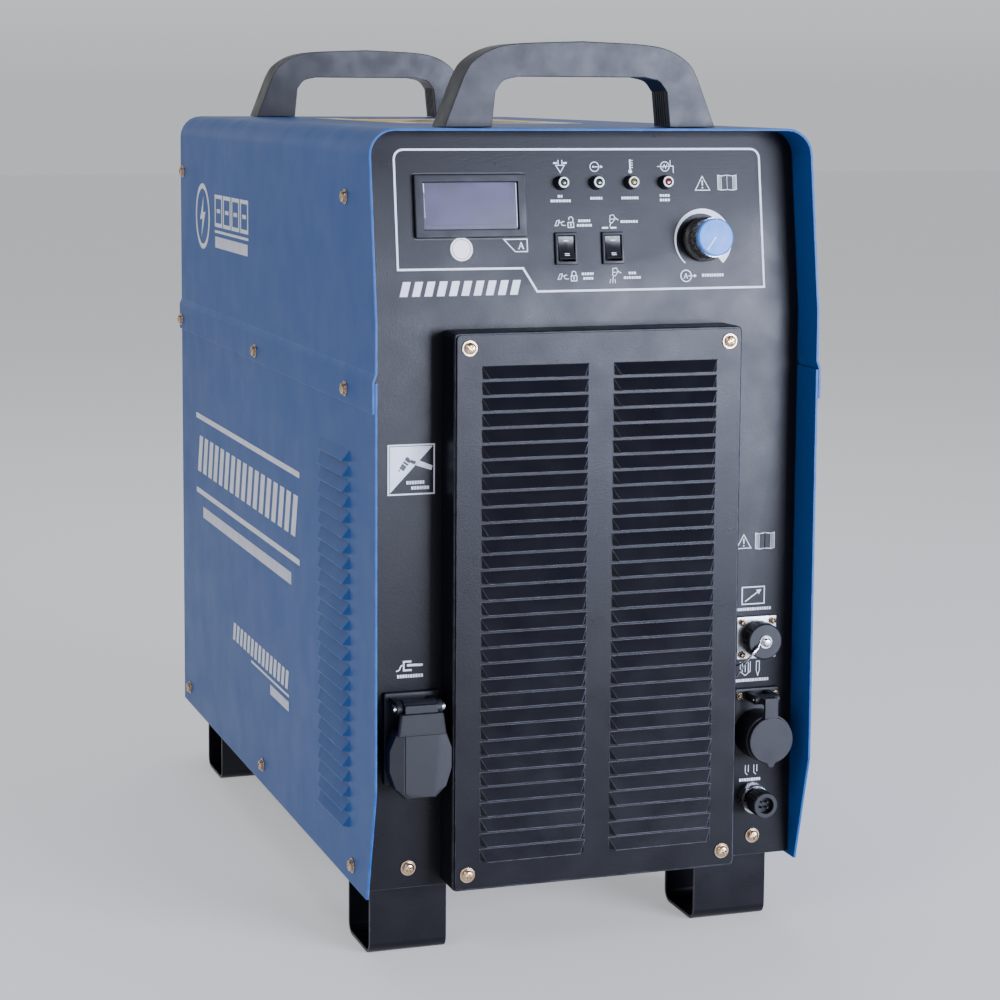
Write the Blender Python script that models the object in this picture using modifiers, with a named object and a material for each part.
"""Plasma cutter power unit: a sheet-metal casing with louvred air intakes, a control panel,
torch and work-lead connectors, two carrying handles and the power stage inside it.

Metres, +Z up. The origin is the centre of the footprint on the ground, and the control panel
faces -Y. Each sub-part is one object; each moving piece has its origin on its joint's axis.
Parts are drawn about the casing's middle, and one parent empty moves them to the origin.
"""

import math

import bmesh
import bpy
from mathutils import Euler, Matrix, Vector

# ---- driving dimensions ----
GAP = 0.0003  # clearance kept between touching pieces
SHEET = 0.0015  # sheet metal thickness

CENTRE_Y = 0.00995  # middle of the footprint, rear fittings included, from the casing's middle

CASE_HALF_W = 0.150
CASE_HALF_D = 0.294
CASE_BOTTOM = 0.047
CASE_TOP = 0.536
TOP_RADIUS = 0.017
CREASE_Z = 0.4165  # the front leans back above this height
TOP_SETBACK = 0.017  # how far the lean takes the top of the front edge back
TOE_Z = 0.121  # the lower side panel's front edge is cut back below this height
TOE_SETBACK = 0.0195

OVERLAP_BOTTOM = 0.361  # lower edge of the cover, lapping over the side panels
JOGGLE_LOW, JOGGLE_HIGH = 0.381, 0.386
SIDE_PANEL_TOP = 0.380

FRONT_Y = -0.2655  # face of the recessed front panel below the crease
PANEL_BOTTOM = 0.0495
PANEL_TOP = CASE_TOP - SHEET - GAP
REAR_Y = 0.282  # outer face of the rear panel

LOUVRE_PITCH = 0.010
LOUVRE_LENGTH = 0.072
LOUVRE_HEIGHT = 0.008
LOUVRE_PROUD = 0.004
FRONT_LOUVRES = 32
SIDE_LOUVRES = 25

VENT_HALF_W = 0.0975
VENT_LOW, VENT_HIGH = 0.0515, 0.4095
VENT_FRONT = -0.2895
VENT_SCREW_X, VENT_SCREW_LOW, VENT_SCREW_HIGH = 0.088, 0.0625, 0.400

FOOT_INNER_X, FOOT_OUTER_X = 0.088, 0.140
FOOT_NEAR_Y, FOOT_FAR_Y = 0.195, 0.247
FOOT_TOP = PANEL_BOTTOM - GAP

HANDLE_DEPTH = 0.027
HANDLE_FRONT_Y = -0.251  # front face of the front handle
HANDLE_REAR_Y = 0.262  # front face of the rear handle
HANDLE_BASE_Z = CASE_TOP + GAP
HANDLE_HEIGHT = 0.0548

KNOB_X, KNOB_Z = 0.0822, 0.4634
KNOB_RADIUS = 0.0126
LED_XS = (-0.0151, 0.0090, 0.0330, 0.0569)
LED_Z = 0.5007
SWITCH_XS = (-0.0135, 0.0186)
SWITCH_Z = 0.4590
ROCKER_TILT = math.radians(10)
DISPLAY_X, DISPLAY_Z = -0.0770, 0.4866
DISPLAY_W, DISPLAY_H = 0.0745, 0.0405
WINDOW_W, WINDOW_H = 0.0630, 0.0300

WORK_X, WORK_Z = -0.1185, 0.140
WORK_HINGE_Z, WORK_HINGE_OUT = 0.172, 0.018
CONTROL_X, CONTROL_Z = 0.1215, 0.1985
OUTPUT_X, OUTPUT_Z = 0.1222, 0.1342
OUTPUT_HINGE_Z, OUTPUT_HINGE_OUT = 0.160, 0.017
PILOT_X, PILOT_Z = 0.1203, 0.0895

FAN_X, FAN_Z, FAN_RADIUS = 0.0, 0.165, 0.068
BREAKER_X, BREAKER_Z = 0.080, 0.435
GLAND_X, GLAND_Z = -0.085, 0.440
AIR_X, AIR_Z = -0.085, 0.345
STUD_X, STUD_Z = -0.110, 0.085
SHELF_Z = 0.300

LEAN = math.atan2(TOP_SETBACK, CASE_TOP - CREASE_Z)

for leftover in list(bpy.data.objects):
    bpy.data.objects.remove(leftover, do_unlink=True)

parts = bpy.data.collections.new("plasma_cutter")
cutters = bpy.data.collections.new("cutters")
bpy.context.scene.collection.children.link(parts)
bpy.context.scene.collection.children.link(cutters)


# ---- materials ----
def make_material(name, colour, roughness, metallic=0.0, alpha=1.0):
    material = bpy.data.materials.new(name)
    material.use_nodes = True
    shader = material.node_tree.nodes["Principled BSDF"]
    shader.inputs["Base Color"].default_value = (*colour, 1.0)
    shader.inputs["Roughness"].default_value = roughness
    shader.inputs["Metallic"].default_value = metallic
    shader.inputs["Alpha"].default_value = alpha
    return material


BLUE = make_material("blue_paint", (0.05, 0.16, 0.42), 0.38)
BLACK = make_material("black_paint", (0.022, 0.023, 0.03), 0.42)
PLASTIC = make_material("black_plastic", (0.02, 0.021, 0.026), 0.5)
GLOSS = make_material("gloss_black", (0.012, 0.012, 0.014), 0.2)
WINDOW = make_material("tinted_window", (0.03, 0.035, 0.05), 0.08)
KNOB_BLUE = make_material("knob_blue", (0.10, 0.28, 0.68), 0.25)
STEEL = make_material("steel", (0.62, 0.63, 0.65), 0.3, 1.0)
ALUMINIUM = make_material("aluminium", (0.72, 0.73, 0.75), 0.45, 1.0)
BRASS = make_material("brass", (0.72, 0.55, 0.26), 0.35, 1.0)
COPPER = make_material("copper_winding", (0.60, 0.27, 0.12), 0.4, 1.0)
CORE = make_material("core_steel", (0.30, 0.30, 0.32), 0.55, 1.0)
BOARD = make_material("circuit_board", (0.02, 0.20, 0.08), 0.5)
LENSES = {
    "green": make_material("lens_green", (0.02, 0.09, 0.05), 0.15),
    "yellow": make_material("lens_yellow", (0.20, 0.17, 0.02), 0.15),
    "red": make_material("lens_red", (0.16, 0.01, 0.01), 0.15),
}


# ---- modelling helpers ----
def add_object(name, mesh, material=None):
    """A part when it has a material, otherwise a cutter."""
    obj = bpy.data.objects.new(name, mesh)
    if material is None:
        cutters.objects.link(obj)
        obj.hide_render = True
        obj.display_type = "WIRE"
    else:
        parts.objects.link(obj)
        mesh.materials.append(material)
    return obj


def from_bmesh(name, bm, material=None):
    bmesh.ops.recalc_face_normals(bm, faces=bm.faces)
    mesh = bpy.data.meshes.new(name)
    bm.to_mesh(mesh)
    bm.free()
    return add_object(name, mesh, material)


def box(name, low, high, material=None):
    """A block between two corners."""
    low, high = Vector(low), Vector(high)
    bm = bmesh.new()
    size = Matrix.Diagonal((*(high - low), 1.0))
    bmesh.ops.create_cube(bm, size=1.0, matrix=Matrix.Translation((low + high) / 2) @ size)
    return from_bmesh(name, bm, material)


def rod(name, start, end, radius, material=None, sides=24):
    """A round bar between two points."""
    start, end = Vector(start), Vector(end)
    turn = (end - start).to_track_quat("Z", "Y").to_matrix().to_4x4()
    bm = bmesh.new()
    bmesh.ops.create_cone(
        bm,
        cap_ends=True,
        segments=sides,
        radius1=radius,
        radius2=radius,
        depth=(end - start).length,
        matrix=Matrix.Translation((start + end) / 2) @ turn,
    )
    obj = from_bmesh(name, bm, material)
    shade(obj)
    return obj


def shade(obj):
    obj.data.shade_smooth()
    obj.data.set_sharp_from_angle(angle=math.radians(35))


def outline(name, points, thickness, material=None):
    """A flat shape in XY, centred on its thickness, cut from a filled 2D curve."""
    curve = bpy.data.curves.new(name, "CURVE")
    curve.dimensions = "2D"
    curve.fill_mode = "BOTH"
    curve.extrude = thickness / 2
    spline = curve.splines.new("POLY")
    spline.points.add(len(points) - 1)
    for point, (x, y) in zip(spline.points, points):
        point.co = (x, y, 0.0, 1.0)
    spline.use_cyclic_u = True
    drawn = bpy.data.objects.new(name, curve)
    cutters.objects.link(drawn)
    bpy.context.view_layer.update()
    evaluated = drawn.evaluated_get(bpy.context.evaluated_depsgraph_get())
    mesh = bpy.data.meshes.new_from_object(evaluated)
    bpy.data.objects.remove(drawn, do_unlink=True)
    bm = bmesh.new()
    bm.from_mesh(mesh)
    bmesh.ops.remove_doubles(bm, verts=bm.verts, dist=0.00001)
    return from_bmesh(name, bm, material)


def upright(obj, x=0.0, y=0.0, z=0.0):
    """Stands an outline up: its X and Y become world X and Z, its thickness lies along Y."""
    obj.data.transform(Matrix.Translation((x, y, z)) @ Matrix.Rotation(math.pi / 2, 4, "X"))
    return obj


def sideways(obj, x=0.0):
    """Stands an outline up: its X and Y become world Y and Z, its thickness lies along X."""
    turn = Matrix(((0, 0, 1), (1, 0, 0), (0, 1, 0))).to_4x4()
    obj.data.transform(Matrix.Translation((x, 0, 0)) @ turn)
    return obj


def turned(name, profile, material=None, sides=24):
    """A lathe shape about Z: the profile's (radius, height) points run down its outer side."""
    mesh = bpy.data.meshes.new(name)
    bm = bmesh.new()
    verts = [bm.verts.new((radius, 0.0, height)) for radius, height in profile]
    for a, b in zip(verts, verts[1:]):
        bm.edges.new((a, b))
    if profile[0][0] > 0:
        bm.edges.new((verts[-1], verts[0]))
    bm.to_mesh(mesh)
    bm.free()
    obj = add_object(name, mesh, material)
    screw = obj.modifiers.new("turn", "SCREW")
    screw.steps = screw.render_steps = sides
    screw.use_merge_vertices = True
    screw.merge_threshold = 0.00002
    screw.use_smooth_shade = True
    return obj


def cut(target, *tools, operation="DIFFERENCE"):
    for tool in tools:
        modifier = target.modifiers.new(tool.name, "BOOLEAN")
        modifier.operation = operation
        modifier.solver = "EXACT"
        modifier.object = tool
    return target


def join(target, *tools):
    return cut(target, *tools, operation="UNION")


def bevel(obj, width, segments=2, angle=40):
    modifier = obj.modifiers.new("edges", "BEVEL")
    modifier.width = width
    modifier.segments = segments
    modifier.limit_method = "ANGLE"
    modifier.angle_limit = math.radians(angle)
    return obj


def place(obj, location, rotation=(0.0, 0.0, 0.0)):
    obj.location = location
    obj.rotation_euler = Euler(rotation)
    return obj


def arc(centre_x, centre_y, radius, start, end, steps):
    """Points on an arc, from one angle to another in degrees."""
    angles = [math.radians(start + (end - start) * i / steps) for i in range(steps + 1)]
    return [(centre_x + radius * math.cos(a), centre_y + radius * math.sin(a)) for a in angles]


def rounded(half_w, low, high, radius, steps=4):
    """A rectangle with round corners, centred on x = 0."""
    right, left = half_w - radius, radius - half_w
    return (
        arc(right, low + radius, radius, -90, 0, steps)
        + arc(right, high - radius, radius, 0, 90, steps)
        + arc(left, high - radius, radius, 90, 180, steps)
        + arc(left, low + radius, radius, 180, 270, steps)
    )


# The leaning control panel has its own frame: X across, Z up its face, -Y straight out of it.
PANEL_TURN = Matrix.Rotation(-LEAN, 4, "X")


def on_panel(x, z, out=0.0):
    """The world point at height z on the leaning panel's face, moved straight out of it."""
    y = FRONT_Y + (z - CREASE_Z) * math.tan(LEAN)
    return Vector((x, y, z)) + PANEL_TURN.to_3x3() @ Vector((0.0, -out, 0.0))


def lay_on_panel(obj, x, z):
    """Puts an object made round its own origin, facing -Y, on the leaning panel."""
    obj.location = on_panel(x, z)
    obj.rotation_euler = (-LEAN, 0.0, 0.0)
    return obj


FACE_OUT = math.pi / 2  # turns a lathe shape's +Z to face -Y, out of the front


def stand_on_front(obj, x, z):
    """Puts a lathe shape on the vertical front panel, its +Z pointing out of it."""
    return place(obj, (x, FRONT_Y, z), (FACE_OUT, 0.0, 0.0))


# ---- casing ----
def top_cover():
    """Inverted U sheet with rounded shoulders; its lower strips step out over the side panels."""
    half, lip = CASE_HALF_W, SHEET + GAP
    corner = arc(half - TOP_RADIUS, CASE_TOP - TOP_RADIUS, TOP_RADIUS, 0, 90, 6)
    right = [(half + lip, OVERLAP_BOTTOM), (half + lip, JOGGLE_LOW), (half, JOGGLE_HIGH), *corner]
    outer = right + [(-x, z) for x, z in reversed(right)]
    bm = bmesh.new()
    verts = [bm.verts.new((x, -CASE_HALF_D, z)) for x, z in outer]
    edges = [bm.edges.new(pair) for pair in zip(verts, verts[1:])]
    swept = bmesh.ops.extrude_edge_only(bm, edges=edges)["geom"]
    moved = [item for item in swept if isinstance(item, bmesh.types.BMVert)]
    bmesh.ops.translate(bm, verts=moved, vec=(0.0, 2 * CASE_HALF_D, 0.0))
    cover = from_bmesh("top_cover", bm, BLUE)
    shade(cover)
    if cover.data.polygons[len(outer) // 2].normal.z < 0:
        cover.data.flip_normals()
    wall = cover.modifiers.new("wall", "SOLIDIFY")
    wall.thickness = SHEET
    wall.offset = -1.0
    wall.use_even_offset = True
    front = -CASE_HALF_D
    rise, back = 0.03, 0.03 * math.tan(LEAN)
    lean_points = [
        (front - 0.02, CREASE_Z),
        (front, CREASE_Z),
        (front + TOP_SETBACK + back, CASE_TOP + rise),
        (front - 0.02, CASE_TOP + rise),
    ]
    lean = sideways(outline("cover_lean_cutter", lean_points, 0.4))
    return cut(cover, lean)


def louvre_tools(name, count):
    """The hoods to add and the slots to cut for a column of louvres.

    Both are made at the origin: X along a louvre, Z down the column, -Y out of the sheet.
    """
    half, tuck = LOUVRE_LENGTH / 2, 0.0001
    lip_half = half - 0.0045
    wall = 0.0011
    slope = (LOUVRE_PROUD + tuck) / (LOUVRE_HEIGHT + 2 * tuck)
    back = 0.0020

    def wedge(label, corners):
        """A prism along X from (half length, outward, height) corners."""
        bm = bmesh.new()
        left = [bm.verts.new((-length, -out, height)) for length, out, height in corners]
        right = [bm.verts.new((length, -out, height)) for length, out, height in corners]
        bm.faces.new(left)
        bm.faces.new(list(reversed(right)))
        for i in range(len(corners)):
            j = (i + 1) % len(corners)
            bm.faces.new((left[i], right[i], right[j], left[j]))
        tool = from_bmesh(label, bm)
        column = tool.modifiers.new("column", "ARRAY")
        column.count = count
        column.use_relative_offset = False
        column.use_constant_offset = True
        column.constant_offset_displace = (0.0, 0.0, -LOUVRE_PITCH)
        return tool

    root = -0.0007
    hood = wedge(
        name + "_hoods",
        [
            (half, -tuck, 2 * tuck),
            (lip_half, LOUVRE_PROUD, -LOUVRE_HEIGHT),
            (half, root, -LOUVRE_HEIGHT),
            (half, root, 2 * tuck),
        ],
    )
    end_slope = (half - lip_half) / LOUVRE_PROUD
    drop = LOUVRE_HEIGHT + 0.0006
    reach = slope * (drop + 2 * tuck) - tuck - wall
    start = 2 * tuck - (tuck + wall - back) / slope
    slot = wedge(
        name + "_slots",
        [
            (half - wall + back * end_slope, -back, start),
            (half - wall - reach * end_slope, reach, -drop),
            (half - wall + back * end_slope, -back, -LOUVRE_HEIGHT + 0.0006),
        ],
    )
    return hood, slot


def side_panel(side):
    """Flat lower side panel with one column of louvres near the front."""
    name = "side_panel_left" if side < 0 else "side_panel_right"
    front, rear = -CASE_HALF_D, CASE_HALF_D
    points = [
        (front + TOE_SETBACK, CASE_BOTTOM),
        (rear, CASE_BOTTOM),
        (rear, SIDE_PANEL_TOP),
        (front, SIDE_PANEL_TOP),
        (front, TOE_Z),
    ]
    panel = sideways(outline(name, points, SHEET, BLUE), side * (CASE_HALF_W - SHEET / 2))
    hoods, slots = louvre_tools(name, SIDE_LOUVRES)
    for tool in (hoods, slots):
        place(tool, (side * CASE_HALF_W, -0.198, 0.331), (0, 0, side * math.pi / 2))
    join(panel, hoods)
    return cut(panel, slots)


def panel_outline(low, top, corner):
    """Front or rear panel edge: square at the bottom, following the cover's shoulders."""
    half = CASE_HALF_W - SHEET - GAP
    right = [(half, low), *arc(half - corner, top - corner, corner, 0, 90, 5)]
    return right + [(-x, z) for x, z in reversed(right)]


def front_panel():
    """Folded front panel: vertical below the crease, leaning back above it."""
    half = CASE_HALF_W - SHEET - GAP
    corner = TOP_RADIUS - SHEET - GAP
    bm = bmesh.new()
    lean_top = FRONT_Y + (PANEL_TOP - CREASE_Z) * math.tan(LEAN)
    line = [(FRONT_Y, PANEL_BOTTOM), (FRONT_Y, CREASE_Z), (lean_top, PANEL_TOP)]
    verts = [bm.verts.new((-half, y, z)) for y, z in line]
    edges = [bm.edges.new(pair) for pair in zip(verts, verts[1:])]
    swept = bmesh.ops.extrude_edge_only(bm, edges=edges)["geom"]
    moved = [item for item in swept if isinstance(item, bmesh.types.BMVert)]
    bmesh.ops.translate(bm, verts=moved, vec=(2 * half, 0.0, 0.0))
    panel = from_bmesh("front_panel", bm, BLACK)
    if panel.data.polygons[0].normal.y > 0:
        panel.data.flip_normals()
    wall = panel.modifiers.new("wall", "SOLIDIFY")
    wall.thickness = SHEET
    wall.offset = -1.0
    wall.use_even_offset = True
    keep = upright(outline("front_shape_cutter", panel_outline(0.0, PANEL_TOP, corner), 0.2))
    place(keep, (0.0, -0.25, 0.0))
    cut(panel, keep, operation="INTERSECT")
    return panel


def front_holes(panel):
    """Openings for the air intake and for everything mounted through the front panel."""
    near, far = FRONT_Y - 0.01, FRONT_Y + 0.01
    cut(panel, box("intake_cutter", (-0.084, near, 0.066), (0.084, far, 0.395)))
    through = [("work", WORK_X, WORK_Z, 0.0135), ("control", CONTROL_X, CONTROL_Z, 0.0098)]
    through += [("output", OUTPUT_X, OUTPUT_Z, 0.0138), ("pilot", PILOT_X, PILOT_Z, 0.0062)]
    for name, x, z, radius in through:
        cut(panel, rod(name + "_hole_cutter", (x, near, z), (x, far, z), radius, sides=20))
    for i, x in enumerate(LED_XS):
        ends = (on_panel(x, LED_Z, 0.01), on_panel(x, LED_Z, -0.01))
        cut(panel, rod(f"led_hole_cutter_{i + 1}", *ends, 0.0035, sides=10))
    knob_ends = (on_panel(KNOB_X, KNOB_Z, 0.01), on_panel(KNOB_X, KNOB_Z, -0.01))
    cut(panel, rod("knob_hole_cutter", *knob_ends, 0.0040, sides=12))
    for i, x in enumerate(SWITCH_XS):
        hole = box(f"switch_hole_cutter_{i + 1}", (-0.0070, -0.01, -0.0098), (0.0070, 0.01, 0.0098))
        cut(panel, lay_on_panel(hole, x, SWITCH_Z))
    window = box("display_hole_cutter", (-0.030, -0.01, -0.014), (0.030, 0.01, 0.014))
    cut(panel, lay_on_panel(window, DISPLAY_X, DISPLAY_Z))


def rear_panel():
    corner = TOP_RADIUS - SHEET - GAP
    panel = outline("rear_panel", panel_outline(PANEL_BOTTOM, PANEL_TOP, corner), SHEET, BLACK)
    upright(panel, y=REAR_Y - SHEET / 2)
    near, far = REAR_Y - 0.01, REAR_Y + 0.01
    holes = [("fan", FAN_X, FAN_Z, FAN_RADIUS, 32), ("gland", GLAND_X, GLAND_Z, 0.0128, 20)]
    holes += [("air", AIR_X, AIR_Z, 0.0073, 12), ("stud", STUD_X, STUD_Z, 0.0033, 12)]
    for name, x, z, radius, sides in holes:
        cut(panel, rod(name + "_cutter", (x, near, z), (x, far, z), radius, sides=sides))
    low = (BREAKER_X - 0.0273, near, BREAKER_Z - 0.0383)
    high = (BREAKER_X + 0.0273, far, BREAKER_Z + 0.0383)
    return cut(panel, box("breaker_cutter", low, high))


def base_plate():
    """Floor tray with upturned sides, which the side panels screw to."""
    half = CASE_HALF_W - SHEET - GAP
    floor, rim, wall = PANEL_BOTTOM, 0.028, 0.002
    front, rear = FRONT_Y + SHEET + GAP, REAR_Y - SHEET - GAP
    section = [
        (-half, floor),
        (half, floor),
        (half, floor + rim),
        (half - wall, floor + rim),
        (half - wall, floor + wall),
        (wall - half, floor + wall),
        (wall - half, floor + rim),
        (-half, floor + rim),
    ]
    tray = outline("base_plate", section, rear - front, BLACK)
    return upright(tray, y=(front + rear) / 2)


def foot(name, side, end):
    """Bent U bracket, open to the sides, with its flanges under the floor tray."""
    wall, flange, bend = 0.002, 0.010, 0.008
    near, far, top = FOOT_NEAR_Y, FOOT_FAR_Y, FOOT_TOP
    inner = bend - wall
    outer_path = [(near - flange, top), (near - flange, top - wall), (near, top - wall)]
    outer_path += arc(near + bend, bend, bend, 180, 270, 4) + arc(far - bend, bend, bend, 270, 360, 4)
    outer_path += [(far, top - wall), (far, top)]
    inner_path = [(far - wall, top)]
    inner_path += [*reversed(arc(far - bend, bend, inner, 270, 360, 4))]
    inner_path += [*reversed(arc(near + bend, bend, inner, 180, 270, 4))]
    inner_path += [(near + wall, top)]
    points = [(end * y, z) for y, z in outer_path + inner_path]
    centre = side * (FOOT_INNER_X + FOOT_OUTER_X) / 2
    return sideways(outline(name, points, FOOT_OUTER_X - FOOT_INNER_X, BLACK), centre)


def handle(name, front_y):
    """Moulded bow handle: a broad flat face with rounded edges, fluted inside its legs."""
    shoulder = [(0.0800, 0.0317), (0.0740, 0.0411), (0.0610, 0.0492), (0.0420, 0.0530)]
    shoulder += [(0.0, HANDLE_HEIGHT)]
    finger = [(0.0430, 0.0320), (0.0530, 0.0294), (0.0585, 0.0228)]
    outer = [(0.0925, 0.0), *smooth_route([Vector(point) for point in shoulder], 4)]
    inner = [(0.0400, 0.0320), *smooth_route([Vector(point) for point in finger], 4), (0.0608, 0.0)]
    across = outer + [(-x, z) for x, z in reversed(outer[:-1])]
    under = [(-x, z) for x, z in reversed(inner)] + inner
    points = across + under
    bow = upright(outline(name, points, HANDLE_DEPTH, PLASTIC))
    shade(bow)
    place(bow, (0.0, front_y + HANDLE_DEPTH / 2, HANDLE_BASE_Z))
    bevel(bow, 0.0028, 3, 50)
    flutes = []
    for side in (-1, 1):
        for step in range(5):
            y = -0.0072 + 0.0036 * step
            near_x, far_x = sorted((side * 0.0560, side * 0.0614))
            low, high = (near_x, y - 0.0008, -0.0010), (far_x, y + 0.0008, 0.0240)
            flute = box(f"{name}_flute_cutter_{side}_{step}", low, high)
            flutes.append(place(flute, bow.location))
    return cut(bow, *flutes)


# ---- air intake on the front ----
def vent_frame():
    """Shallow box standing off the front panel; its front flange carries the louvred plate."""
    root = FRONT_Y - GAP
    edge = rounded(VENT_HALF_W, VENT_LOW, VENT_HIGH, 0.003, 2)
    shell = outline("vent_frame", edge, root - VENT_FRONT, BLACK)
    upright(shell, y=(root + VENT_FRONT) / 2)
    bevel(shell, 0.0007, 1, 60)
    wall = 0.0015
    low, high = VENT_LOW + wall, VENT_HIGH - wall
    side = VENT_HALF_W - wall
    inside = box("vent_inside_cutter", (-side, VENT_FRONT + wall, low), (side, root + 0.01, high))
    mouth = box("vent_mouth_cutter", (-0.083, VENT_FRONT - 0.01, 0.068), (0.083, root, 0.394))
    return cut(shell, inside, mouth)


def vent_grille():
    """Plate with two columns of louvres, screwed to the frame at its corners."""
    thickness = 0.0013
    face = VENT_FRONT - GAP - thickness
    half = VENT_HALF_W - 0.0015
    points = rounded(half, VENT_LOW + 0.0015, VENT_HIGH - 0.0015, 0.0025, 2)
    plate = upright(outline("vent_grille", points, thickness, BLACK), y=face + thickness / 2)
    for label, x in (("left", -0.044), ("right", 0.044)):
        hoods, slots = louvre_tools("vent_" + label, FRONT_LOUVRES)
        for tool in (hoods, slots):
            tool.location = (x, face, 0.3885)
        join(plate, hoods)
        cut(plate, slots)
    for i, (x, z) in enumerate(vent_screw_places()):
        ends = ((x, face - 0.01, z), (x, face + 0.01, z))
        cut(plate, rod(f"vent_hole_cutter_{i}", *ends, 0.0024, sides=12))
    return plate


def vent_screw_places():
    return [(x, z) for z in (VENT_SCREW_HIGH, VENT_SCREW_LOW) for x in (-VENT_SCREW_X, VENT_SCREW_X)]


# ---- control panel ----
def display():
    half_w, half_h = DISPLAY_W / 2, DISPLAY_H / 2
    bezel = box("display_bezel", (-half_w, -0.0035, -half_h), (half_w, -GAP, half_h), PLASTIC)
    bevel(bezel, 0.0012, 2)
    half_open_w, half_open_h = WINDOW_W / 2 + GAP, WINDOW_H / 2 + GAP
    low, high = (-half_open_w, -0.01, -half_open_h), (half_open_w, 0.01, half_open_h)
    opening = box("display_cutter", low, high)
    cut(bezel, lay_on_panel(opening, DISPLAY_X, DISPLAY_Z))
    lay_on_panel(bezel, DISPLAY_X, DISPLAY_Z)
    low, high = (-WINDOW_W / 2, -0.0020, -WINDOW_H / 2), (WINDOW_W / 2, -GAP, WINDOW_H / 2)
    window = box("display_window", low, high, WINDOW)
    bevel(window, 0.0003, 1)
    lay_on_panel(window, DISPLAY_X, DISPLAY_Z)


def indicator(index, x, colour):
    """Pilot lamp: a conical black holder with its barrel through the panel, and a domed lens."""
    holder = turned(
        f"led_holder_{index}",
        [(0.0034, 0.0060), (0.0037, 0.0055), (0.0047, 0.0012), (0.0047, GAP), (0.0031, GAP)]
        + [(0.0031, -0.0080), (0.0026, -0.0080), (0.0026, 0.0060)],
        PLASTIC,
        16,
    )
    lens = turned(
        f"led_lens_{index}",
        [(0.0, 0.0068), (0.0015, 0.0064), (0.0023, 0.0052), (0.0023, -0.0070), (0.0, -0.0070)],
        LENSES[colour],
        12,
    )
    for piece in (holder, lens):
        place(piece, on_panel(x, LED_Z), (FACE_OUT - LEAN, 0.0, 0.0))


def rocker_switch(index, x):
    """Snap-in switch: a bezel with its housing behind the panel, and a two-faced rocker."""
    low, high = (-0.0075, -0.0022, -0.0104), (0.0075, -GAP, 0.0104)
    bezel = box(f"switch_bezel_{index}", low, high, PLASTIC)
    bevel(bezel, 0.0008, 2)
    housing = box(f"switch_housing_{index}", (-0.0066, -0.0010, -0.0094), (0.0066, 0.0160, 0.0094))
    cavity = box(f"switch_cavity_{index}", (-0.0059, -0.01, -0.0084), (0.0059, 0.0100, 0.0084))
    for piece in (bezel, housing, cavity):
        lay_on_panel(piece, x, SWITCH_Z)
    join(bezel, housing)
    cut(bezel, cavity)
    pivot = 0.001  # the rocker turns about a line this far behind the panel's face
    half_view = [(0.0, -0.0022), (0.0040, -0.0027), (0.0076, -0.0035), (0.0073, 0.0005), (0.0050, 0.0040)]
    points = [(y, z) for z, y in half_view] + [(y, -z) for z, y in reversed(half_view[1:])]
    rocker = sideways(outline(f"switch_rocker_{index}", points, 0.0110, GLOSS))
    bevel(rocker, 0.0004, 1)
    where = on_panel(x, SWITCH_Z, -pivot)
    place(rocker, where, (-LEAN - ROCKER_TILT, 0.0, 0.0))


def knob_parts():
    radius, height, seat = KNOB_RADIUS, 0.0180, 0.0010
    turn = (FACE_OUT - LEAN, 0.0, 0.0)
    where = on_panel(KNOB_X, KNOB_Z)
    profile = [(0.0, height), (radius - 0.0004, height), (radius, height - 0.0006)]
    profile += [(radius + 0.0004, 0.0060), (0.0145, 0.0045), (0.0145, seat), (0.0, seat)]
    knob = place(turned("current_knob", profile, PLASTIC, 36), where, turn)
    flutes = bmesh.new()
    for i in range(18):
        angle = 2 * math.pi * i / 18
        centre = Vector((math.cos(angle), math.sin(angle), 0.0)) * (radius + 0.0008)
        spot = Matrix.Translation(centre + Vector((0.0, 0.0, 0.0125)))
        bmesh.ops.create_cone(
            flutes, cap_ends=True, segments=6, radius1=0.0010, radius2=0.0010, depth=0.0130, matrix=spot
        )
    cut(knob, place(from_bmesh("knob_flute_cutter", flutes), where, turn))
    bore = rod("knob_bore_cutter", (0, 0, -0.001), (0, 0, 0.0145), 0.0034, sides=12)
    cut(knob, place(bore, where, turn))
    cap_profile = [(0.0, 0.0218), (radius - 0.0012, 0.0216), (radius - 0.0002, 0.0206)]
    cap_profile += [(radius - 0.0002, height + GAP), (0.0, height + GAP)]
    place(turned("knob_cap", cap_profile, KNOB_BLUE, 36), where, turn)
    pot_profile = [(0.0, 0.0140), (0.0030, 0.0140), (0.0030, -0.0030), (0.0085, -0.0030)]
    pot_profile += [(0.0085, -0.0150), (0.0, -0.0150)]
    place(turned("potentiometer", pot_profile, ALUMINIUM, 16), where, turn)


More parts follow.
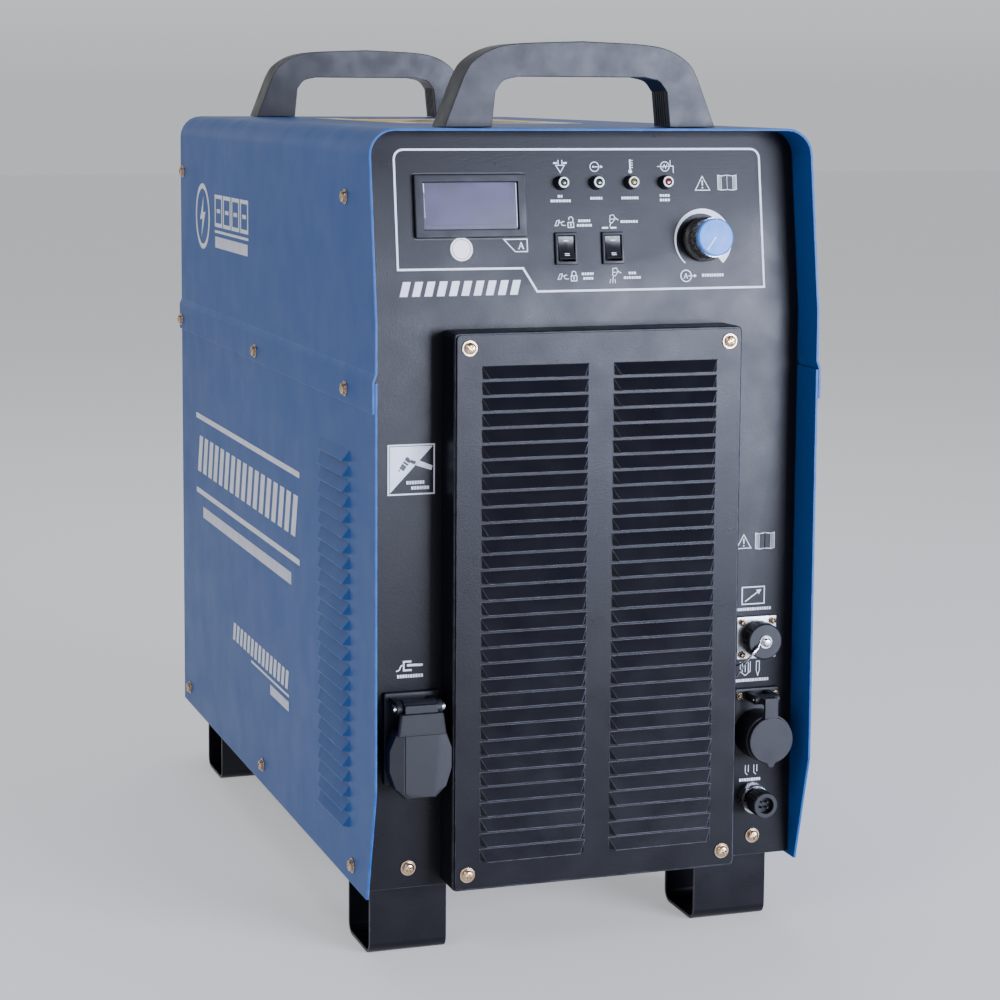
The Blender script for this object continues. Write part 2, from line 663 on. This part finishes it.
# ---- connectors on the front ----
def work_lead_socket():
    """Cable socket under a box-like flip cover on a steel hinge pin."""
    face = FRONT_Y
    x, z = WORK_X, WORK_Z
    pin_y, pin_z = face - WORK_HINGE_OUT, WORK_HINGE_Z
    plate_low, plate_high = (x - 0.0185, face - 0.004, 0.119), (x + 0.0185, face - GAP, 0.179)
    socket = box("work_socket", plate_low, plate_high, PLASTIC)
    bevel(socket, 0.0015, 2)
    barrel = rod("work_barrel", (x, face - 0.002, z), (x, face - 0.018, z), 0.0130)
    tail = rod("work_tail", (x, face - 0.002, z), (x, face + 0.020, z), 0.0130)
    join(socket, barrel, tail)
    for side, label in ((-1, "left"), (1, "right")):
        low_x, high_x = sorted((x + side * 0.0112, x + side * 0.0148))
        lug_low, lug_high = (low_x, pin_y, pin_z - 0.0042), (high_x, face - 0.002, pin_z + 0.0042)
        lug = box(f"work_lug_{label}", lug_low, lug_high)
        eye = rod(f"work_eye_{label}", (low_x, pin_y, pin_z), (high_x, pin_y, pin_z), 0.0045, sides=20)
        join(socket, lug, eye)
    cut(socket, rod("work_bore_cutter", (x, face - 0.03, z), (x, face + 0.015, z), 0.0070))
    span = ((x - 0.03, pin_y, pin_z), (x + 0.03, pin_y, pin_z))
    cut(socket, rod("work_pin_hole_cutter", *span, 0.0018, sides=16))
    pin = rod("work_hinge_pin", (x - 0.0165, pin_y, pin_z), (x + 0.0165, pin_y, pin_z), 0.0014, STEEL, 16)
    head = rod("work_pin_head", (x - 0.0168, pin_y, pin_z), (x - 0.0151, pin_y, pin_z), 0.0030, sides=16)
    nose = rod("work_pin_nose", (x + 0.0151, pin_y, pin_z), (x + 0.0168, pin_y, pin_z), 0.0030, sides=16)
    join(pin, head, nose)
    work_cover(x, pin_y, pin_z)


def work_cover(x, pin_y, pin_z):
    """The flip cover, made round its hinge axis: a shallow faceted cup with a raised grip.

    The relief takes away the back of the cup's top wall, which would meet the socket's barrel.
    """
    front = FRONT_Y - pin_y - 0.0260
    depth, flat, drop = 0.0140, 0.0109, 0.0022  # the front's flat middle, and how far its sides fall back
    low, high, half = 0.115 - pin_z, 0.1585 - pin_z, 0.0208
    right = [(0.0105, low), (0.0172, low + 0.0065), (half, low + 0.018)]
    right += [(half, high - 0.012), (0.0165, high)]
    shape = right + [(-px, pz) for px, pz in reversed(right)]
    cup = upright(outline("work_cover", shape, depth, PLASTIC), y=front + depth / 2)
    plan = [(flat, front), (half + 0.001, front + drop), (half + 0.001, front + depth + 0.001)]
    plan = plan + [(-px, py) for px, py in reversed(plan)]
    facets = outline("work_cover_facets", plan, 0.150)
    bevel(cup, 0.0030, 2, 60)
    cut(cup, facets, operation="INTERSECT")
    inside = [(px * 0.86, (pz - low) * 0.88 + low + 0.0025) for px, pz in shape]
    hollow = upright(outline("work_cover_hollow", inside, depth), y=front + 0.0045 + depth / 2)
    relief = box("work_cover_relief", (-0.0145, -0.0010, -0.0180), (0.0145, 0.0200, -0.0080))
    grip_low, grip_high = 0.1560 - pin_z, 0.1702 - pin_z
    seam_low = (-flat - 0.0004, front - 0.001, low + 0.004)
    seam = box("work_cover_seam", seam_low, (-flat + 0.0004, front + 0.0006, grip_low))
    cut(cup, hollow, relief, seam)
    corners = [(0.0160, grip_low), (0.0140, grip_high), (-0.0140, grip_high), (-0.0160, grip_low)]
    grip = upright(outline("work_grip", corners, 0.0046), y=front + 0.0005)
    bevel(grip, 0.0008, 1)
    join(cup, grip)
    web = box("work_web", (-0.0106, front + 0.0005, 0.1610 - pin_z), (0.0106, -0.0020, 0.0030))
    knuckle = rod("work_knuckle", (-0.0106, 0, 0), (0.0106, 0, 0), 0.0056, sides=24)
    join(cup, web, knuckle)
    cut(cup, rod("work_knuckle_cutter", (-0.02, 0, 0), (0.02, 0, 0), 0.0019, sides=16))
    for piece in (cup, facets, hollow, relief, seam, grip, web, knuckle, cup.modifiers[-1].object):
        piece.location = (x, pin_y, pin_z)


def control_connector():
    """Square-flanged signal receptacle with a screw-on dust cap and its wire lanyard."""
    x, z = CONTROL_X, CONTROL_Z
    flange = box("control_flange", (-0.0145, -0.0145, GAP), (0.0145, 0.0145, 0.0024), ALUMINIUM)
    bevel(flange, 0.0010, 2)
    shell_profile = [(0.0094, 0.0110), (0.0094, -0.0120), (0.0, -0.0120), (0.0, 0.0010)]
    shell_profile += [(0.0078, 0.0010), (0.0078, 0.0110)]
    shell = turned("control_shell", shell_profile, None, 20)
    join(flange, shell)
    for piece in (flange, shell):
        stand_on_front(piece, x, z)
    cap_profile = [(0.0, 0.0165), (0.0112, 0.0165), (0.0122, 0.0155), (0.0122, 0.0060), (0.0108, 0.0050)]
    cap_profile += [(0.0108, 0.0030), (0.0099, 0.0030), (0.0099, 0.0120), (0.0, 0.0120)]
    cap = stand_on_front(turned("control_dust_cap", cap_profile, PLASTIC, 30), x, z)
    notches = bmesh.new()
    for i in range(10):
        angle = 2 * math.pi * i / 10
        centre = Vector((math.cos(angle), math.sin(angle), 0.0)) * 0.0132
        spot = Matrix.Translation(centre + Vector((0.0, 0.0, 0.0110)))
        bmesh.ops.create_cone(
            notches, cap_ends=True, segments=8, radius1=0.0016, radius2=0.0016, depth=0.020, matrix=spot
        )
    cut(cap, stand_on_front(from_bmesh("cap_notch_cutter", notches), x, z))
    screw_profile = [(0.0, 0.0205), (0.0020, 0.0202), (0.0031, 0.0190), (0.0031, 0.0180), (0.0036, 0.0180)]
    screw_profile += [(0.0036, 0.0168), (0.0, 0.0168)]
    stand_on_front(turned("control_cap_screw", screw_profile, STEEL, 14), x, z)
    lanyard(x, z)


def lanyard(x, z):
    """Steel wire from the dust cap's centre screw to an anchor beside the air intake."""
    start = Vector((x - 0.0044, FRONT_Y - 0.0174, z - 0.0012))
    route = [
        start,
        start + Vector((-0.0060, -0.0016, -0.0060)),
        start + Vector((-0.0110, 0.0020, -0.0150)),
        start + Vector((-0.0145, 0.0080, -0.0250)),
        start + Vector((-0.0158, 0.0135, -0.0290)),
        Vector((x - 0.0205, FRONT_Y - 0.0016, z - 0.0300)),
    ]
    curve = bpy.data.curves.new("control_lanyard", "CURVE")
    curve.dimensions = "3D"
    curve.bevel_depth = 0.0006
    curve.bevel_resolution = 2
    curve.use_fill_caps = True
    spline = curve.splines.new("POLY")
    smooth = smooth_route(route, 4)
    spline.points.add(len(smooth) - 1)
    for point, at in zip(spline.points, smooth):
        point.co = (*at, 1.0)
    wire = bpy.data.objects.new("control_lanyard", curve)
    curve.materials.append(STEEL)
    parts.objects.link(wire)


def smooth_route(points, steps):
    """Points on a smooth curve through the route's own points."""
    ends = [points[0] * 2 - points[1], *points, points[-1] * 2 - points[-2]]
    found = []
    for a, b, c, d in zip(ends, ends[1:], ends[2:], ends[3:]):
        for i in range(steps):
            t = i / steps
            bend = (2 * a - 5 * b + 4 * c - d) * t * t + (3 * b - a - 3 * c + d) * t**3
            found.append((2 * b + (c - a) * t + bend) / 2)
    return found + [points[-1]]


def output_connector():
    """Torch power socket: a flanged round shell with a strap-hinged round cap."""
    x, z, face = OUTPUT_X, OUTPUT_Z, FRONT_Y
    pin_y, pin_z = face - OUTPUT_HINGE_OUT, OUTPUT_HINGE_Z
    plate_low, plate_high = (x - 0.0160, face - 0.0032, 0.1195), (x + 0.0160, face - GAP, 0.1645)
    socket = box("output_socket", plate_low, plate_high, PLASTIC)
    bevel(socket, 0.0012, 2)
    barrel = rod("output_barrel", (x, face - 0.002, z), (x, face - 0.0235, z), 0.0165, sides=32)
    tail = rod("output_tail", (x, face - 0.002, z), (x, face + 0.022, z), 0.0132, sides=20)
    join(socket, barrel, tail)
    for side, label in ((-1, "left"), (1, "right")):
        low_x, high_x = sorted((x + side * 0.0050, x + side * 0.0085))
        lug_low, lug_high = (low_x, pin_y, pin_z - 0.0028), (high_x, face - 0.002, pin_z + 0.0028)
        lug = box(f"output_lug_{label}", lug_low, lug_high)
        eye = rod(f"output_eye_{label}", (low_x, pin_y, pin_z), (high_x, pin_y, pin_z), 0.0032, sides=16)
        join(socket, lug, eye)
    cut(socket, rod("output_bore_cutter", (x, face - 0.03, z), (x, face - 0.0012, z), 0.0135))
    contacts = bmesh.new()
    for i in range(3):
        angle = math.radians(90 + 120 * i)
        centre = Vector((x + 0.0062 * math.cos(angle), face - 0.004, z + 0.0062 * math.sin(angle)))
        turn = Matrix.Translation(centre) @ Matrix.Rotation(math.pi / 2, 4, "X")
        bmesh.ops.create_cone(
            contacts, cap_ends=True, segments=8, radius1=0.0018, radius2=0.0018, depth=0.022, matrix=turn
        )
    join(socket, from_bmesh("output_contacts", contacts))
    span = ((x - 0.02, pin_y, pin_z), (x + 0.02, pin_y, pin_z))
    cut(socket, rod("output_pin_hole_cutter", *span, 0.0014, sides=12))
    rod("output_hinge_pin", (x - 0.0095, pin_y, pin_z), (x + 0.0095, pin_y, pin_z), 0.0011, STEEL, 12)
    output_cap(x, pin_y, pin_z)


def output_cap(x, pin_y, pin_z):
    """Round cap with a pointed thumb tab, on a strap from the hinge; made round its axis."""
    centre = OUTPUT_Z - pin_z
    back = FRONT_Y - 0.0240 - pin_y
    rim = arc(0.0, centre, 0.0155, -78, 258, 28)
    shape = rim + [(-0.0016, centre - 0.0181), (0.0016, centre - 0.0181)]
    disc = upright(outline("output_cap", shape, 0.0032, PLASTIC), y=back - 0.0016)
    bevel(disc, 0.0006, 1, 60)
    strap = box("output_strap", (-0.0046, back - 0.0027, centre + 0.0115), (0.0046, back - 0.0005, 0.0024))
    arm = box("output_arm", (-0.0043, back - 0.0020, -0.0024), (0.0043, 0.0, 0.0019))
    knuckle = rod("output_knuckle", (-0.0047, 0, 0), (0.0047, 0, 0), 0.0032, sides=16)
    hole = rod("output_knuckle_cutter", (-0.02, 0, 0), (0.02, 0, 0), 0.0015, sides=12)
    join(disc, strap, arm, knuckle)
    cut(disc, hole)
    for piece in (disc, strap, arm, knuckle, hole):
        piece.location = (x, pin_y, pin_z)


def pilot_connector():
    """Round pilot-arc plug socket: a plated nut on the panel and a fluted coupling ring."""
    nut = [(0.0092, 0.0085), (0.0100, 0.0077), (0.0100, GAP), (0.0067, GAP), (0.0067, 0.0085)]
    stand_on_front(turned("pilot_nut", nut, STEEL, 24), PILOT_X, PILOT_Z)
    shell = [(0.0080, 0.0245), (0.0087, 0.0237), (0.0087, 0.0120), (0.0064, 0.0110), (0.0060, 0.0040)]
    shell += [(0.0060, -0.0100), (0.0, -0.0100), (0.0, 0.0190), (0.0056, 0.0190), (0.0056, 0.0245)]
    socket = stand_on_front(turned("pilot_socket", shell, PLASTIC, 24), PILOT_X, PILOT_Z)
    extras = bmesh.new()
    for i in range(4):
        angle = math.radians(45 + 90 * i)
        spot = Matrix.Translation((0.0026 * math.cos(angle), 0.0026 * math.sin(angle), 0.0200))
        bmesh.ops.create_cone(
            extras, cap_ends=True, segments=6, radius1=0.0007, radius2=0.0007, depth=0.006, matrix=spot
        )
    join(socket, stand_on_front(from_bmesh("pilot_pins", extras), PILOT_X, PILOT_Z))
    flutes = bmesh.new()
    for i in range(10):
        angle = 2 * math.pi * i / 10
        spot = Matrix.Translation((0.0093 * math.cos(angle), 0.0093 * math.sin(angle), 0.0190))
        bmesh.ops.create_cone(
            flutes, cap_ends=True, segments=6, radius1=0.0012, radius2=0.0012, depth=0.0130, matrix=spot
        )
    cut(socket, stand_on_front(from_bmesh("pilot_flute_cutter", flutes), PILOT_X, PILOT_Z))


# ---- rear fittings ----
def fan():
    """Axial fan on the inside of the rear panel, and its wire guard on the outside."""
    inner = REAR_Y - SHEET - GAP
    depth, half = 0.038, 0.075
    low, high = (FAN_X - half, inner - depth, FAN_Z - half), (FAN_X + half, inner, FAN_Z + half)
    frame = box("fan_frame", low, high, PLASTIC)
    bevel(frame, 0.003, 1)
    ends = ((FAN_X, inner - 0.1, FAN_Z), (FAN_X, inner + 0.1, FAN_Z))
    cut(frame, rod("fan_bore_cutter", *ends, FAN_RADIUS, sides=32))
    spider_y = inner - depth + 0.003
    for i, angle in enumerate((45, 135)):
        arm = box(f"fan_arm_{i}", (-FAN_RADIUS - 0.003, -0.003, -0.003), (FAN_RADIUS + 0.003, 0.002, 0.003))
        join(frame, place(arm, (FAN_X, spider_y + 0.001, FAN_Z), (0.0, math.radians(angle), 0.0)))
    ends = ((FAN_X, spider_y - 0.002, FAN_Z), (FAN_X, spider_y + 0.004, FAN_Z))
    join(frame, rod("fan_motor", *ends, 0.020, sides=24))
    rotor_y = inner - depth + 0.0085
    rotor = rod("fan_rotor", (0, -0.001, 0), (0, 0.026, 0), 0.021, PLASTIC, 24)
    for i in range(7):
        angle = 2 * math.pi * i / 7
        blade = box(f"fan_blade_{i}", (0.019, -0.0008, -0.011), (FAN_RADIUS - 0.003, 0.0008, 0.011))
        blade.data.transform(Matrix.Rotation(math.radians(58), 4, "X"))
        blade.data.transform(Matrix.Translation((0.0, 0.0125, 0.0)))
        blade.data.transform(Matrix.Rotation(angle, 4, "Y"))
        join(rotor, place(blade, (FAN_X, rotor_y, FAN_Z)))
    place(rotor, (FAN_X, rotor_y, FAN_Z))
    fan_guard()


def fan_guard():
    """Concentric rings on a cross of bars, with four screw pads, on the rear panel."""
    near, wire = REAR_Y + GAP, 0.0016
    pad, reach = 0.0715, FAN_RADIUS + 0.002
    guard = box("fan_guard", (-reach, near, -wire), (reach, near + 0.0032, wire), STEEL)
    guard.location = (FAN_X, 0.0, FAN_Z)
    bar = box("guard_bar", (-wire, near, -reach), (wire, near + 0.0032, reach))
    join(guard, place(bar, guard.location))
    for i in range(3):
        radius = 0.026 + 0.0195 * i
        outside, within = radius + wire, radius - wire
        section = [(outside, 0.0030), (outside, 0.0002), (within, 0.0002), (within, 0.0030)]
        ring = turned(f"guard_ring_{i}", section, None, 20)
        join(guard, place(ring, (FAN_X, near, FAN_Z), (-FACE_OUT, 0.0, 0.0)))
    for i in range(4):
        angle = math.radians(45 + 90 * i)
        spot = (FAN_X + pad * math.cos(angle), FAN_Z + pad * math.sin(angle))
        ends = ((spot[0], near, spot[1]), (spot[0], near + 0.0022, spot[1]))
        join(guard, rod(f"guard_pad_{i}", *ends, 0.0080, sides=12))
    return guard


def breaker():
    """Circuit breaker let into the rear panel, with a toggle that flips up."""
    x, z = BREAKER_X, BREAKER_Z
    face = REAR_Y + 0.006
    low, high = (x - 0.027, REAR_Y - 0.055, z - 0.038), (x + 0.027, face, z + 0.038)
    body = box("breaker_body", low, high, PLASTIC)
    bevel(body, 0.001, 1)
    low, high = (x - 0.031, REAR_Y + GAP, z - 0.043), (x + 0.031, REAR_Y + 0.003, z + 0.043)
    flange = box("breaker_flange", low, high)
    low, high = (x - 0.0130, face - 0.012, z - 0.012), (x + 0.0130, face + 0.01, z + 0.012)
    slot = box("breaker_slot", low, high)
    join(body, flange)
    cut(body, slot)
    toggle = box("breaker_toggle", (-0.0120, -0.0030, -0.0045), (0.0120, 0.0165, 0.0045), GLOSS)
    bevel(toggle, 0.0012, 1)
    place(toggle, (x, face - 0.006, z), (math.radians(-22), 0.0, 0.0))


def cable_gland():
    """Screwed cable entry: thread and lock nut inside, a domed clamping nut outside."""
    profile = [(0.0075, 0.0300), (0.0110, 0.0285), (0.0140, 0.0230), (0.0150, 0.0120), (0.0150, 0.0070)]
    profile += [(0.0165, 0.0065), (0.0165, GAP), (0.0122, GAP), (0.0122, -0.0140), (0.0075, -0.0140)]
    gland = turned("cable_gland", profile, PLASTIC, 24)
    place(gland, (GLAND_X, REAR_Y, GLAND_Z), (-FACE_OUT, 0.0, 0.0))


def air_inlet():
    """Brass hose tail through the rear panel for the compressed air."""
    profile = [(0.0040, 0.0330), (0.0048, 0.0320), (0.0058, 0.0270), (0.0048, 0.0265), (0.0058, 0.0210)]
    profile += [(0.0048, 0.0205), (0.0058, 0.0150), (0.0055, 0.0120), (0.0110, 0.0110), (0.0110, GAP)]
    profile += [(0.0068, GAP), (0.0068, -0.0120), (0.0034, -0.0120), (0.0034, 0.0330)]
    inlet = turned("air_inlet", profile, BRASS, 16)
    place(inlet, (AIR_X, REAR_Y, AIR_Z), (-FACE_OUT, 0.0, 0.0))


def earth_stud():
    profile = [(0.0, 0.0180), (0.0026, 0.0180), (0.0030, 0.0174), (0.0030, 0.0075), (0.0060, 0.0070)]
    profile += [(0.0060, 0.0025), (0.0085, 0.0020), (0.0085, GAP), (0.0030, GAP)]
    profile += [(0.0030, -0.0080), (0.0, -0.0080)]
    stud = turned("earth_stud", profile, BRASS, 12)
    place(stud, (STUD_X, REAR_Y, STUD_Z), (-FACE_OUT, 0.0, 0.0))


# ---- power stage inside ----
def chassis_shelf():
    """Folded shelf on two legs, over the transformer and the heat sink."""
    wall, half, floor = 0.0015, 0.118, PANEL_BOTTOM + 0.002 + GAP
    section = [
        (-half, floor),
        (wall - half, floor),
        (wall - half, SHELF_Z - wall),
        (half - wall, SHELF_Z - wall),
        (half - wall, floor),
        (half, floor),
        (half, SHELF_Z),
        (-half, SHELF_Z),
    ]
    return upright(outline("chassis_shelf", section, 0.400, ALUMINIUM), y=-0.010)


def transformer():
    """Three-limb core with windings on its outer limbs."""
    floor = PANEL_BOTTOM + 0.002 + GAP
    core = box("main_transformer", (-0.075, 0.060, floor), (0.075, 0.110, floor + 0.130), CORE)
    for side in (-1, 1):
        low_x, high_x = sorted((side * 0.012, side * 0.050))
        window = box(f"core_window_{side}", (low_x, 0.0, floor + 0.025), (high_x, 0.2, floor + 0.105))
        cut(core, window)
    coil = box("transformer_coil", (-0.034, 0.040, floor + 0.030), (0.034, 0.130, floor + 0.100))
    bevel(coil, 0.008, 2)
    return join(core, coil)


def heat_sink():
    """Finned aluminium block across the airflow."""
    floor = PANEL_BOTTOM + 0.002 + GAP
    sink = box("heat_sink", (-0.100, -0.120, floor), (0.100, 0.020, floor + 0.070), ALUMINIUM)
    slots = box("sink_slot_cutter", (-0.0965, -0.2, floor + 0.012), (-0.0895, 0.1, floor + 0.2))
    repeat = slots.modifiers.new("fins", "ARRAY")
    repeat.count = 19
    repeat.use_relative_offset = False
    repeat.use_constant_offset = True
    repeat.constant_offset_displace = (0.0103, 0.0, 0.0)
    return cut(sink, slots)


def choke_coil():
    floor = PANEL_BOTTOM + 0.002 + GAP
    ring = [(0.0300, 0.0340), (0.0360, 0.0280), (0.0360, 0.0060), (0.0300, 0.0), (0.0200, 0.0)]
    ring += [(0.0140, 0.0060), (0.0140, 0.0280), (0.0200, 0.0340)]
    return place(turned("output_choke", ring, COPPER, 20), (0.0, -0.180, floor))


def power_board():
    """Switching module with its capacitors, on the shelf."""
    base = SHELF_Z + GAP
    module = box("power_module", (-0.080, -0.110, base), (0.080, 0.030, base + 0.018), PLASTIC)
    bevel(module, 0.002, 1)
    bank = box("capacitor_bank", (-0.075, 0.050, base), (0.075, 0.105, base + 0.006), BOARD)
    for i in range(3):
        x = -0.048 + 0.048 * i
        can = rod(f"capacitor_{i}", (x, 0.0775, base + 0.003), (x, 0.0775, base + 0.065), 0.0215, sides=24)
        join(bank, can)
    valve = box("solenoid_valve", (-0.105, 0.140, base), (-0.065, 0.180, base + 0.028), BRASS)
    bevel(valve, 0.002, 1)
    ends = ((-0.085, 0.160, base + 0.020), (-0.085, 0.160, base + 0.060))
    join(valve, rod("valve_coil", *ends, 0.0150, sides=20))


def control_board():
    """Circuit board on spacers behind the control panel."""
    board = box("control_board", (-0.120, 0.0300, -0.048), (0.120, 0.0316, 0.052), BOARD)
    lay_on_panel(board, 0.0, 0.476)
    chip = box("control_chip", (-0.030, 0.0310, -0.020), (0.030, 0.0360, 0.015))
    join(board, lay_on_panel(chip, 0.0, 0.476))
    driver = box("arc_start_unit", (0.040, 0.140, SHELF_Z + GAP), (0.105, 0.195, SHELF_Z + 0.060), CORE)
    bevel(driver, 0.003, 1)


def build():
    top_cover()
    for side in (-1, 1):
        side_panel(side)
    front_holes(front_panel())
    rear_panel()
    base_plate()
    for side, across in ((-1, "left"), (1, "right")):
        for end, along in ((-1, "front"), (1, "rear")):
            foot(f"foot_{along}_{across}", side, end)
    handle("handle_front", HANDLE_FRONT_Y)
    handle("handle_rear", HANDLE_REAR_Y)
    vent_frame()
    vent_grille()
    display()
    for i, (x, colour) in enumerate(zip(LED_XS, ("green", "green", "yellow", "red"))):
        indicator(i + 1, x, colour)
    for i, x in enumerate(SWITCH_XS):
        rocker_switch(i + 1, x)
    knob_parts()
    work_lead_socket()
    control_connector()
    output_connector()
    pilot_connector()
    fan()
    breaker()
    cable_gland()
    air_inlet()
    earth_stud()
    chassis_shelf()
    transformer()
    heat_sink()
    choke_coil()
    power_board()
    control_board()
    unit = bpy.data.objects.new("unit", None)
    parts.objects.link(unit)
    for obj in [*parts.objects, *cutters.objects]:
        if obj is not unit:
            obj.parent = unit
    unit.location.y = -CENTRE_Y


build()
